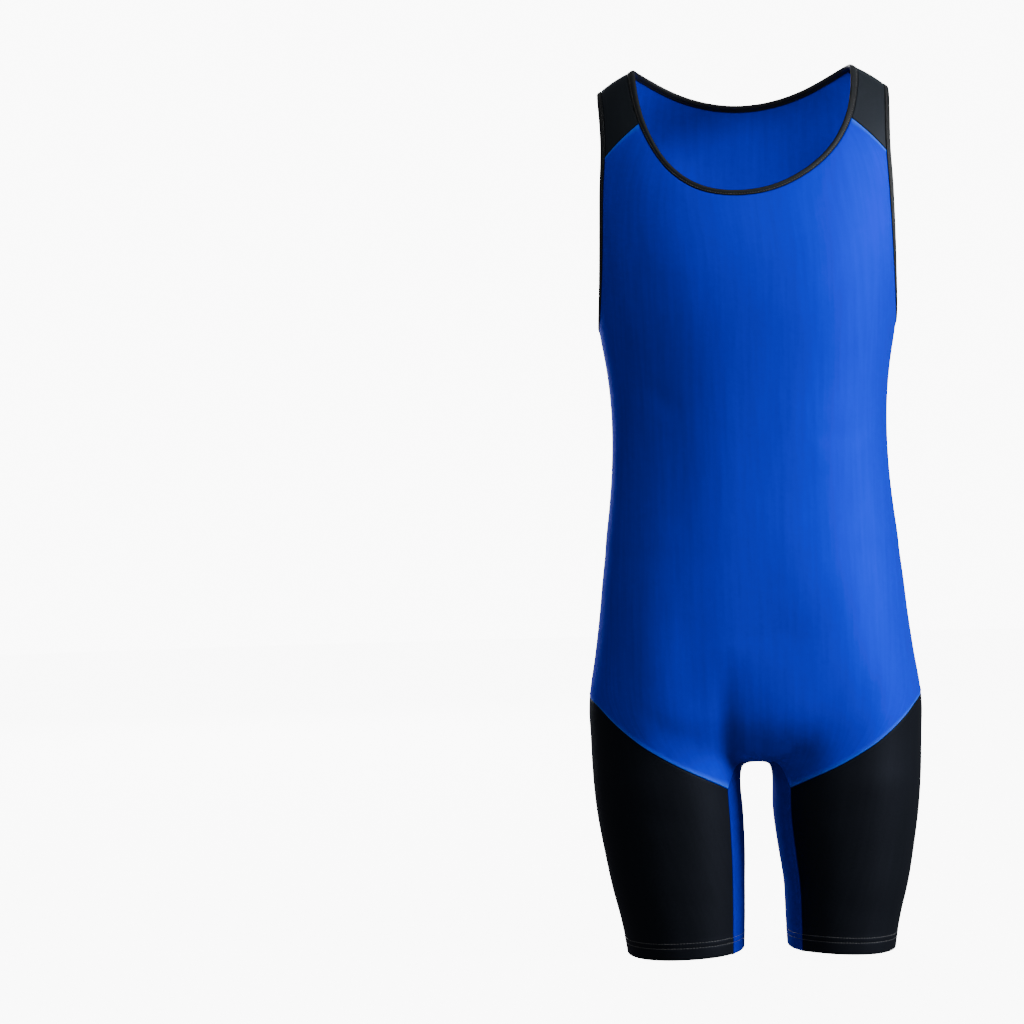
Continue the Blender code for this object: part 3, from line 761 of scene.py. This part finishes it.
class Nodes:
    """A new material and its nodes, added one by one. An input is named, or numbered as n0, n1."""

    def __init__(self, name, colour):
        self.material = bpy.data.materials.new(name)
        self.material.use_nodes = True
        self.material.diffuse_color = (*colour, 1)
        self.tree = self.material.node_tree
        self.shader = self.tree.nodes["Principled BSDF"]

    def add(self, kind, settings=None, **inputs):
        node = self.tree.nodes.new(kind)
        for key, value in (settings or {}).items():
            setattr(node, key, value)
        for key, value in inputs.items():
            numbered = key[0] == "n" and key[1:].isdigit()
            self.put(node, int(key[1:]) if numbered else key.replace("_", " "), value)
        return node

    def put(self, node, socket, value):
        if isinstance(value, bpy.types.NodeSocket):
            self.tree.links.new(value, node.inputs[socket])
        else:
            node.inputs[socket].default_value = value

    def shade(self, **values):
        """Sets sockets of the shader itself."""
        for name, value in values.items():
            self.put(self.shader, name.replace("_", " "), value)

    def math(self, operation, a, b=0.0, c=0.0):
        return self.add("ShaderNodeMath", {"operation": operation}, n0=a, n1=b, n2=c).outputs[0]

    def product(self, first, *others):
        for other in others:
            first = self.math("MULTIPLY", first, other)
        return first

    def layout(self):
        return self.add("ShaderNodeUVMap", {"uv_map": "UVMap"}).outputs[0]

    def mark(self, name):
        return self.add("ShaderNodeAttribute", {"attribute_name": name}).outputs[2]

    def noise(self, vector, scale, detail=2.0):
        return self.add("ShaderNodeTexNoise", Vector=vector, Scale=scale, Detail=detail).outputs[0]

    def wave(self, vector, direction, scale, distortion):
        settings = {"bands_direction": direction}
        inputs = {"Vector": vector, "Scale": scale, "Distortion": distortion, "Detail": 1.0}
        return self.add("ShaderNodeTexWave", settings, **inputs).outputs[1]

    def relief(self, height, strength, distance):
        node = self.add("ShaderNodeBump", Strength=strength, Distance=distance, Height=height)
        self.shade(Normal=node.outputs[0])

    def stretched(self, vector, x, y, z=1.0):
        return self.add("ShaderNodeMapping", Vector=vector, Scale=(x, y, z)).outputs[0]

    def spread(self, value, low, high, to_low, to_high):
        limits = {"From_Min": low, "From_Max": high, "To_Min": to_low, "To_Max": to_high}
        return self.add("ShaderNodeMapRange", Value=value, **limits).outputs[0]

    def mixed(self, blend, factor, a, b):
        settings = {"data_type": "RGBA", "blend_type": blend}
        return self.add("ShaderNodeMix", settings, n0=factor, n6=a, n7=b).outputs[2]

    def scaled(self, colour, factor):
        grey = self.add("ShaderNodeCombineColor", n0=factor, n1=factor, n2=factor).outputs[0]
        return self.mixed("MULTIPLY", 1.0, colour, grey)


# How fine each detail of a material is, for layouts in metres, and how deep its relief
WALE, COURSE, RIB = 349.0, 420.0, 310.0
STREAKS, KNIT_FIBRES, KNIT_PATCHES = 170.0, 2600.0, 11.0
TAPE_FIBRES, TAPE_PATCHES, TWIST = 2400.0, 60.0, 1500.0
KNIT_RELIEF, THREAD_RELIEF = 0.00012, 0.0001


def knit(name, colour, edge, metallic, roughness, sheen, sheen_tint, level, shine, grain=0.4, glow=0.0):
    """Fine stretch knit: upright wales and courses, a soft satin face, darker in the seams, a painted
    highlight on seam ridges and painted shade where marked.
    """
    n = Nodes(name, colour)
    uv = n.layout()
    wales, courses = n.wave(uv, "X", WALE, 0.6), n.wave(uv, "Y", COURSE, 0.9)
    loops = n.math("ADD", n.math("MULTIPLY", wales, 0.65), n.math("MULTIPLY", courses, 0.35))
    streaks = n.noise(n.stretched(uv, 1.0, 0.07), STREAKS, 3.0)
    fibres = n.noise(uv, KNIT_FIBRES, 1.0)
    patches = n.noise(uv, KNIT_PATCHES)
    uneven = n.math("ADD", n.math("MULTIPLY", streaks, 0.4), n.math("MULTIPLY", fibres, 0.3))
    n.relief(n.math("ADD", loops, uneven), grain, KNIT_RELIEF)
    shade = n.product(
        n.spread(streaks, 0.3, 0.7, 0.95, 1.05),
        n.spread(patches, 0.3, 0.7, 0.96, 1.04),
        n.spread(loops, 0.0, 1.0, 0.93, 1.05),
        n.spread(n.mark("seam_mm"), 0.2, 0.9, 0.35, 1.0),
        n.spread(n.mark("inner"), 0.0, 1.0, 1.0, 0.92),
        # painted shade: the colour darkened where the shaded mark is set
        n.spread(n.mark("shaded"), 0.0, 1.0, 1.0, 0.4),
    )
    # Painted highlight: the ridge beside a seam takes the lighter edge colour, standing in for the light
    # it catches
    base = n.mixed("MIX", n.math("MULTIPLY", n.mark("ridge"), 0.55), (*colour, 1), (*edge, 1))
    rough = n.spread(n.math("ADD", streaks, loops), 0.2, 1.6, roughness - 0.04, roughness + 0.05)
    n.shade(Base_Color=n.scaled(base, shade), Metallic=metallic, Roughness=rough)
    n.shade(Specular_IOR_Level=level, Specular_Tint=(*shine, 1))
    n.shade(Sheen_Weight=sheen, Sheen_Roughness=0.4, Sheen_Tint=(*sheen_tint, 1))
    if glow:
        n.shade(Subsurface_Weight=glow, Subsurface_Radius=(0.3, 0.6, 1.0), Subsurface_Scale=0.004)
    return n.material


def tape(name, colour):
    """Ribbed stretch strip, matt, its ribs across the edge."""
    n = Nodes(name, colour)
    uv = n.layout()
    ribs = n.wave(uv, "X", RIB, 0.5)
    fibres = n.noise(uv, TAPE_FIBRES)
    patches = n.noise(n.stretched(uv, 1.0, 0.4), TAPE_PATCHES)
    height = n.math("ADD", n.math("MULTIPLY", ribs, 0.7), n.math("MULTIPLY", fibres, 0.5))
    n.relief(height, 0.4, KNIT_RELIEF)
    shade = n.product(n.spread(ribs, 0.0, 1.0, 0.86, 1.08), n.spread(patches, 0.3, 0.7, 0.9, 1.1))
    rough = n.spread(fibres, 0.3, 0.7, 0.5, 0.62)
    n.shade(Base_Color=n.scaled((*colour, 1), shade), Metallic=0.4, Roughness=rough)
    n.shade(Specular_IOR_Level=0.25)
    n.shade(Sheen_Weight=0.03, Sheen_Roughness=0.45, Sheen_Tint=(0.55, 0.65, 0.8, 1))
    return n.material


def thread(name, colour):
    """Twisted sewing thread."""
    n = Nodes(name, colour)
    twist = n.noise(n.add("ShaderNodeTexCoord").outputs["Object"], TWIST)
    n.relief(twist, 0.5, THREAD_RELIEF)
    shade = n.scaled((*colour, 1), n.spread(twist, 0.3, 0.7, 0.75, 1.2))
    n.shade(Base_Color=shade, Roughness=n.spread(twist, 0.3, 0.7, 0.45, 0.58), Sheen_Weight=0.3)
    return n.material


# The second blue is a painted highlight, laid on the ridge beside a seam where the turned cloth catches
# light
BLUE, BLUE_RIDGE_HIGHLIGHT = (0.0, 0.014, 0.66), (0.05, 0.24, 0.95)
BLACK, YOKE_BLACK = (0.0092, 0.0108, 0.0155), (0.016, 0.0192, 0.0245)
TAPE = (0.012, 0.0135, 0.016)
BLUE_SHEEN, BLACK_SHEEN = (0.0, 0.15, 1.0), (0.75, 0.85, 1.0)
blue = knit(
    "blue_stretch_knit", BLUE, BLUE_RIDGE_HIGHLIGHT, metallic=0.4, roughness=0.68, sheen=0.05,
    sheen_tint=BLUE_SHEEN, level=0.08, shine=(0.0, 0.22, 1.0), grain=0.35, glow=0.6,
)
black = knit(
    "black_stretch_knit", BLACK, BLACK, metallic=0.5, roughness=0.56, sheen=0.01,
    sheen_tint=BLACK_SHEEN, level=0.12, shine=(0.3, 0.36, 0.48),
)
yoke_black = knit(
    "black_yoke_knit", YOKE_BLACK, YOKE_BLACK, metallic=0.5, roughness=0.6, sheen=0.02,
    sheen_tint=BLACK_SHEEN, level=0.2, shine=(0.7, 0.8, 1.0),
)
strip = tape("black_ribbed_strip", TAPE)
grey_thread = thread("grey_thread", (0.055, 0.06, 0.068))
black_thread = thread("black_thread", (0.012, 0.013, 0.016))


def cut_at_yoke(loops, corners, last, steps):
    """Matching loops of an opening in front of the yoke, along it and behind it, up to a last point."""
    ends = [0, *(nearest(loops[0], corner) for corner in corners), last]
    return [stretch(loops, *between_them) for between_them in zip(ends, ends[1:], steps)]


# Edges of the openings, each as the outer and the inner edge of its binding
neck_outer, neck_inner = neck_loops()
slimmer = NECK_SLIMMER * np.clip((-neck_outer[:, 1:2] - SLIMMER_START) / SLIMMER_GROWS, 0, 1)
neck_inner = neck_inner + (neck_outer - neck_inner) * slimmer
neck_front, neck_top, neck_back = cut_at_yoke(
    (neck_outer, neck_inner), YOKE_AT_NECK, len(neck_outer) // 2, NECK_STEPS
)
arm_front, arm_top, arm_back = cut_at_yoke(arm_loops(), YOKE_AT_ARM, 0, ARM_STEPS)

# Seams of the left half
yoke_front = curve([neck_front[0][-1], arm_front[0][-1]], YOKE_STEPS)
yoke_back = curve([neck_top[0][-1], arm_top[0][-1]], YOKE_STEPS)
under_arm = arm_front[0][0]
hip_side = cast(np.array([0.0, 0.0, HIP_SIDE]), np.array([1.0, 0.0, 0.0]))
side_line = [(under_arm[0], 0, z) for z in np.linspace(under_arm[2], HIP_SIDE, 8)]
side_line[0], side_line[-1] = under_arm, hip_side
side = curve(side_line, SIDE_STEPS)
hip, crotch, gusset_seam, turns = {}, {}, {}, {}
for face, crotch_seam in CROTCH_SEAM.items():
    at = [hip_side] + [on_face(seam.x, seam.height, face) for seam in HIP_SEAM]
    hip[face] = curve(at, HIP_STEPS)
    crotch[face] = curve([hip[face][-1], *crotch_seam], CROTCH_STEPS)
    crotch[face][-1, 0] = 0
    low = HEM_HEIGHT + HEM_FALL * (HEM_MIDDLE - GUSSET_HEM_X)
    end = on_face(GUSSET_HEM_X, low + HEM_DEPTH, face)
    gusset_seam[face] = curve([hip[face][-1], (hip[face][-1] + end) / 2, end], GUSSET_STEPS)
    turns[face] = turn_of(on_face(GUSSET_HEM_X, low, face))

# Hem bands round the left leg, from the gusset's front seam round the outside to its back seam
outside = joined(
    np.linspace(turns["front"], 0, HIP_STEPS + 1), np.linspace(0, turns["back"], HIP_STEPS + 1)
)
inside = np.linspace(turns["back"], turns["front"] + 2 * np.pi, GUSSET_ACROSS + 1)
hem_bands = {
    place: [round_leg(turn, above) for above in HEM_ROWS]
    for place, turn in (("leg", outside), ("gusset", inside))
}
hem_side = {}
for face, leg_end, gusset_end in (("front", 0, -1), ("back", -1, 0)):
    gusset_seam[face][-1] = hem_bands["leg"][0][leg_end]
    for leg_row, gusset_row in zip(hem_bands["leg"], hem_bands["gusset"]):
        gusset_row[gusset_end] = leg_row[leg_end]
    hem_side[face] = np.array([row[leg_end] for row in hem_bands["leg"]])


def hem_shape(height):
    """Lift of the outside and thickness of a hem at a height above its edge."""
    round_off = HEM_CLOTH / 2
    inside_edge = np.clip(1 - height / round_off, 0, 1)
    drop = HEM_ROUND * round_off * (1 - np.sqrt(np.maximum(0, 1 - inside_edge**2)))
    swell = np.clip(height / SWELL_GROWS, 0, 1) * np.clip((HEM_DEPTH - height) / SWELL_ENDS, 0, 1)
    lift = HEM_SWELL * swell - drop
    for row in HEM_STITCHES:
        lift = lift - HEM_STITCH_DIP * bump(height - row, HEM_STITCH_WIDTH)
    return lift, HEM_CLOTH - 2 * drop


hem_lift, hem_thick = hem_shape(np.array(HEM_ROWS[1:]))
hem_count = len(hem_lift)


def hemmed(grid, both_ends=False):
    """Thickness and lift of a piece whose last rows, or first rows too, are a hem."""
    rows, columns = grid.shape[:2]
    lift, thick = np.zeros(rows), np.full(rows, CLOTH)
    lift[-hem_count:], thick[-hem_count:] = hem_lift, hem_thick
    if both_ends:
        lift[:hem_count], thick[:hem_count] = hem_lift[::-1], hem_thick[::-1]
    return {"extra": np.tile(lift[:, None], columns), "thick": np.tile(thick[:, None], columns)}


hip_line = joined(hip["front"][::-1], hip["back"])
leg_main = panel(hip_line, hem_bands["leg"][0], gusset_seam["front"], gusset_seam["back"])
leg_main = bordered(leg_main, 0, ends=False)
leg_grid = bordered(np.concatenate([leg_main, np.array(hem_bands["leg"][1:])]), 1)

middle = onto(np.linspace(crotch["back"][-1], crotch["front"][-1], GUSSET_ACROSS + 1), 12)
middle[:, 0] = 0
edges = {face: joined(gusset_seam[face][::-1], crotch[face]) for face in ("front", "back")}
half_strip = panel(hem_bands["gusset"][0], middle, edges["back"], edges["front"])
half_strip = np.concatenate([np.array(hem_bands["gusset"][:0:-1]), half_strip])
gusset_grid = np.concatenate([half_strip, mirrored(half_strip[-2::-1])])
gusset_grid[hem_count:-hem_count] = settle(gusset_grid[hem_count:-hem_count], 40)
gusset_grid = bordered(gusset_grid, 1)


def whole(half):
    """A line that starts in the middle, with its other half before it."""
    return joined(mirrored(half[::-1]), half)


def both_sides(*lines):
    """Lines of the left half and the same lines on the right."""
    return [*lines, *(mirrored(line) for line in lines)]


pieces = {}
for face, neck_edge, arm_edge, yoke_seam in (
    ("front", neck_front[0], arm_front[0][::-1], yoke_front),
    ("back", neck_back[0][::-1], arm_back[0], yoke_back),
):
    top, low = joined(neck_edge, yoke_seam), joined(crotch[face][::-1], hip[face][::-1])
    edge = joined(arm_edge, side)
    pieces[f"{face}_body"] = cloth_piece(
        f"{face}_body_cloth",
        bordered(bordered(panel(whole(top), whole(low), mirrored(edge), edge), 0), 1),
        blue,
        ridges=both_sides(yoke_seam, hip[face]),
        seams=both_sides(neck_edge, arm_edge, side, crotch[face]),
        creases=(face,),
    )

pieces["inseam_gusset"] = cloth_piece(
    "inseam_gusset_cloth",
    gusset_grid,
    blue,
    seams=both_sides(*crotch.values(), *gusset_seam.values(), *hem_side.values()),
    rippled=0.08,
    # painted shade over the whole gusset, which lies between the legs
    shaded=0.6,
    **hemmed(gusset_grid, both_ends=True),
)

yoke_grid = panel(yoke_back, yoke_front, neck_top[0][::-1], arm_top[0][::-1])
yoke_grid = bordered(bordered(yoke_grid, 0), 1)
leg_seams = (*hip.values(), *gusset_seam.values(), *hem_side.values())
yoke_seams = (yoke_front, yoke_back, neck_top[0], arm_top[0])
sewn = {"grey": [], "black": []}
for place, turned in (("left", lambda points: points), ("right", mirrored)):
    pieces[f"leg_{place}"] = cloth_piece(
        f"leg_{place}_cloth",
        turned(leg_grid),
        black,
        seams=[turned(line) for line in leg_seams],
        creases=("leg_front", "leg_back"),
        **hemmed(leg_grid),
    )
    pieces[f"shoulder_yoke_{place}"] = cloth_piece(
        f"shoulder_yoke_{place}_cloth",
        turned(yoke_grid),
        yoke_black,
        seams=[turned(line) for line in yoke_seams],
        rippled=0.1,
    )
    rings = [turned(joined(arm_front[k], arm_top[k], arm_back[k])[:-1]) for k in (0, 1)]
    binding = f"armhole_binding_{place}"
    pieces[binding], row = binding_piece(f"{binding}_strip", *rings, strip)
    sewn["black"].append(row)
    for above in HEM_STITCHES:
        loop = turned(joined(round_leg(outside, above), round_leg(inside, above)))
        up = normal(loop)
        sewn["grey"].append((loop + up * HEM_STITCH_LIFT, up))

rings = [closed(joined(neck_front[k], neck_top[k], neck_back[k])) for k in (0, 1)]
pieces["neck_binding"], row = binding_piece("neck_binding_strip", *rings, strip)
sewn["black"].append(row)

threads = [
    stitches("hem_stitching", sewn["grey"], grey_thread, HEM_STITCH),
    stitches("binding_stitching", sewn["black"], black_thread, BINDING_STITCH),
]

for node, piece in pieces.items():
    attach(piece, "root")
    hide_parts(node)
for piece in threads:
    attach(piece, "root")

# Each piece of knit as it was cut, before it is stretched: width, length and area in metres
Cut = namedtuple("Cut", "node width length area")
CUTS = table(
    Cut,
    ("front_body", 0.400, 0.680, 0.211),
    ("back_body", 0.415, 0.735, 0.239),
    ("inseam_gusset", 0.119, 0.471, 0.047),
    ("leg_left", 0.443, 0.286, 0.086),
    ("leg_right", 0.443, 0.286, 0.086),
    ("shoulder_yoke_left", 0.052, 0.142, 0.0043),
    ("shoulder_yoke_right", 0.052, 0.142, 0.0043),
)

# Camera, light and floor
EYE_DISTANCE, EYE_HEIGHT = 3.0, -0.421
EYE_YAW, EYE_PAN, EYE_TILT, EYE_ROLL = (np.radians(angle) for angle in (2.5, 4.72, -0.65, -1.31))
LENS = 101.6

eye = np.array([-np.sin(EYE_YAW) * EYE_DISTANCE, -np.cos(EYE_YAW) * EYE_DISTANCE, EYE_HEIGHT])
ahead = np.array([-eye[0], -eye[1]]) / np.hypot(eye[0], eye[1])
pan = np.array([[np.cos(EYE_PAN), -np.sin(EYE_PAN)], [np.sin(EYE_PAN), np.cos(EYE_PAN)]])
ahead = np.append(pan @ ahead * np.cos(EYE_TILT), np.sin(EYE_TILT))
right = np.cross(ahead, [0, 0, 1])
right /= np.linalg.norm(right)
up = np.cross(right, ahead)
right, up = (
    np.cos(EYE_ROLL) * right + np.sin(EYE_ROLL) * up,
    np.cos(EYE_ROLL) * up - np.sin(EYE_ROLL) * right,
)
camera = shown("camera", bpy.data.cameras.new("camera"))
camera.data.lens, camera.data.sensor_width = LENS, 36.0
camera.data.clip_start, camera.data.clip_end = 0.05, 60.0
camera.matrix_world = Matrix(
    [[right[i], up[i], -ahead[i], eye[i]] for i in range(3)] + [[0.0, 0.0, 0.0, 1.0]]
)
bpy.context.scene.camera = camera


def lamp(name, kind, place, way, watts):
    """A light that shines from a place in one direction."""
    data = bpy.data.lights.new(name, kind)
    data.energy = watts
    made = shown(name, data)
    made.location = place
    made.rotation_euler = Vector(way).to_track_quat("-Z", "Y").to_euler()
    return data


# Soft lights: places in metres, the width of the disc and its power in watts
Light = namedtuple("Light", "name place aim width watts")
MIDDLE = (0.0, 0.0, -0.45)
LIGHTS = table(
    Light,
    ("key", (2.55, -1.2, 0.2), MIDDLE, 0.9, 130.0),
    ("top", (0.75, -1.25, 1.8), (0.0, 0.0, -0.1), 0.5, 22.0),
    ("front", (-1.6, -2.7, -0.3), MIDDLE, 1.6, 9.0),
    ("back", (-0.9, 3.0, 0.3), MIDDLE, 1.4, 85.0),
)
for light in LIGHTS:
    way = Vector(light.aim) - Vector(light.place)
    disc = lamp(light.name, "AREA", light.place, way, light.watts)
    disc.shape, disc.size = "DISK", light.width

# Light let in over the front of the neck, on the inside of the back
spot = lamp("inside", "SPOT", (-0.35, -0.7, 0.35), (0.475, 0.72, -0.37), 36.0)
spot.spot_size, spot.spot_blend, spot.shadow_soft_size = np.radians(10), 1.0, 0.04

# A pale room: how strongly it lights the cloth, and how bright it and the floor look
ROOM_LIGHT, ROOM_SEEN, FLOOR_SEEN = 0.145, 10.0, 9.3
world = bpy.data.worlds.new("studio")
world.use_nodes = True
bpy.context.scene.world = world
tree = world.node_tree
tree.nodes.clear()
seen = tree.nodes.new("ShaderNodeLightPath")
mix = tree.nodes.new("ShaderNodeMixShader")
output = tree.nodes.new("ShaderNodeOutputWorld")
for socket, strength in ((1, ROOM_LIGHT), (2, ROOM_SEEN)):
    ground = tree.nodes.new("ShaderNodeBackground")
    ground.inputs[0].default_value = (1.0, 1.0, 1.0, 1.0)
    ground.inputs[1].default_value = strength
    tree.links.new(ground.outputs[0], mix.inputs[socket])
tree.links.new(seen.outputs["Is Camera Ray"], mix.inputs[0])
tree.links.new(mix.outputs[0], output.inputs[0])

FLOOR_GREY = (0.3, 0.3, 0.3)
n = Nodes("pale_floor", FLOOR_GREY)
speck = n.noise(n.add("ShaderNodeTexCoord").outputs["Object"], 30.0, 4.0)
grey = n.scaled((*FLOOR_GREY, 1), n.spread(speck, 0.3, 0.7, 0.98, 1.02))
n.shade(Base_Color=grey, Roughness=0.9)
n.shade(Emission_Color=(1.0, 1.0, 1.0, 1.0), Emission_Strength=FLOOR_SEEN)
turn = np.linspace(0, 2 * np.pi, FLOOR_SIDES, endpoint=False)
height = np.full(FLOOR_SIDES, FLOOR)
rim = np.stack([FLOOR_REACH * np.cos(turn), FLOOR_REACH * np.sin(turn), height], -1)
floor = mesh_piece("floor", rim, [tuple(range(FLOOR_SIDES))], n.material, smooth=False)
floor.visible_diffuse = floor.visible_glossy = False
